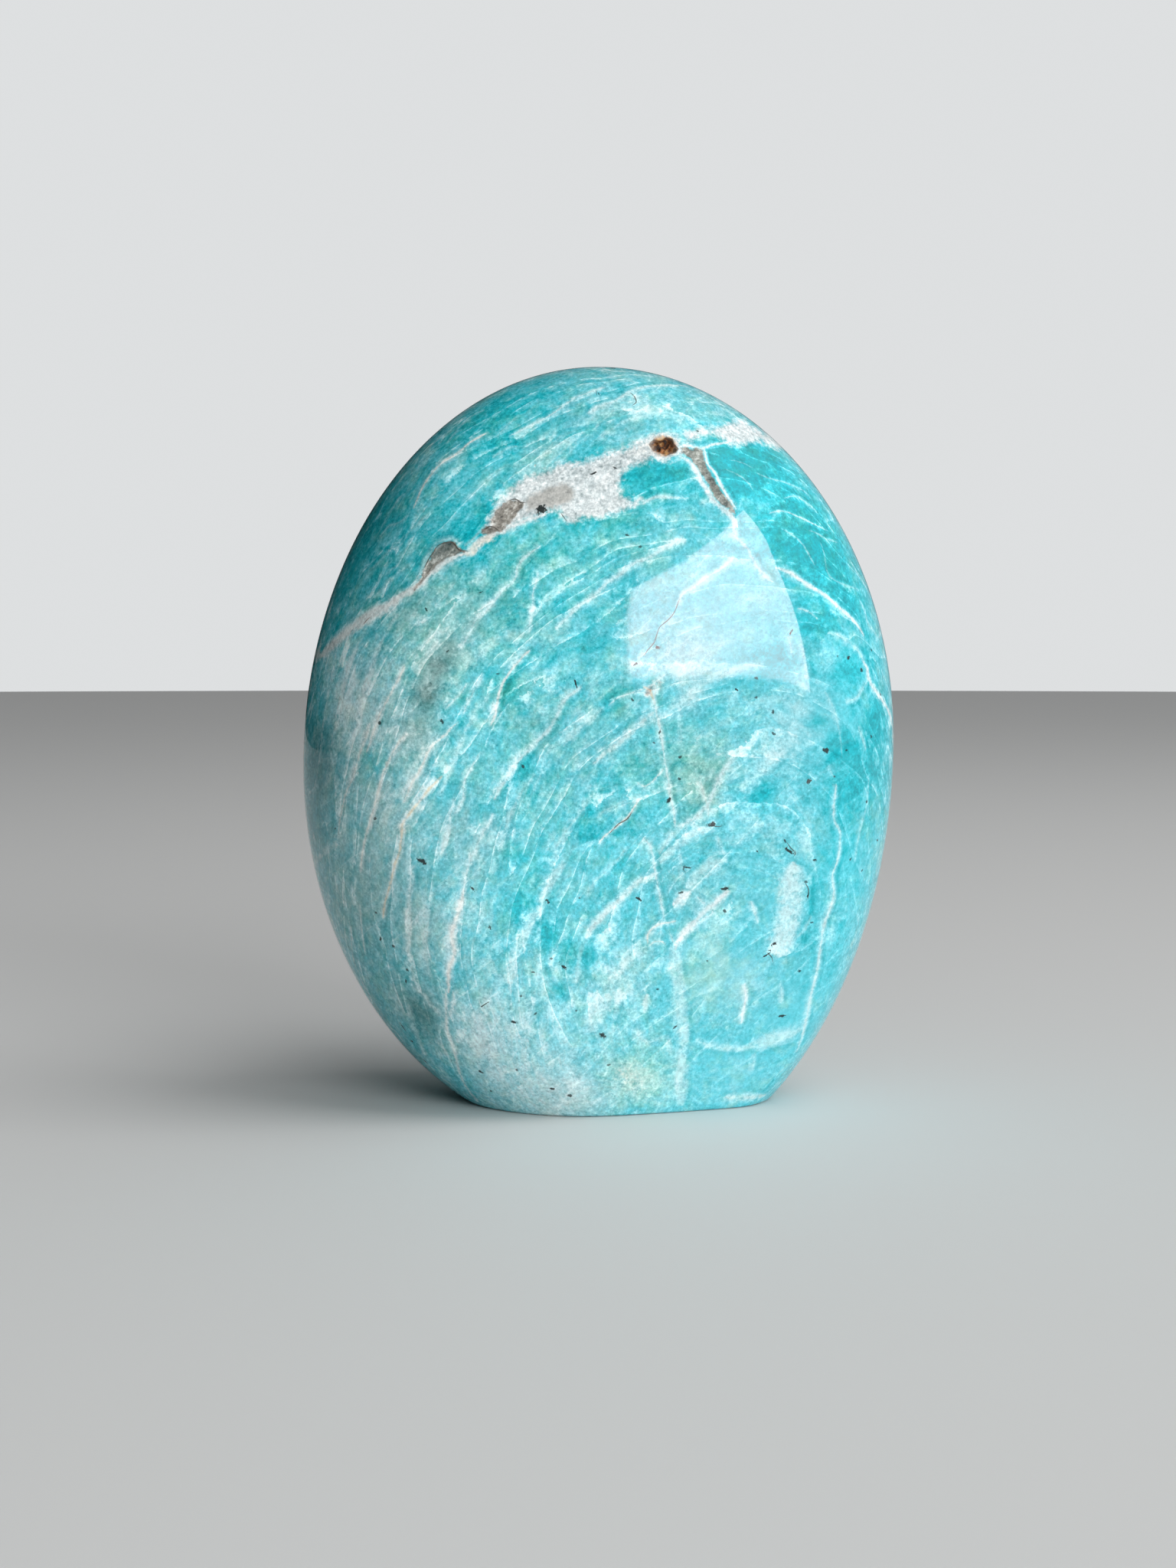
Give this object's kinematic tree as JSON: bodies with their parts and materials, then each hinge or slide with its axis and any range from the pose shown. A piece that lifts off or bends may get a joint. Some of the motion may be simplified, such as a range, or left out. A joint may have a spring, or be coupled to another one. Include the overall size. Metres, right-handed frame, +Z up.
{
  "type": "polished amazonite freeform",
  "caption": "Upright egg-shaped amazonite stone, polished all over and cut flat below so that it stands by itself on a shelf or table.",
  "frame": {"origin": "middle of the stone in plan, on the surface that it stands on", "axes": "+Z up, -Y out of the broad front face that the picture shows, +X to the right of that face"},
  "size_m": [0.097, 0.053, 0.12],
  "materials": {
    "amazonite": "high polish, blue-green feldspar with white veins"
  },
  "bodies": {
    "root": {"amazonite_stone": "amazonite"}
  },
  "joints": []
}
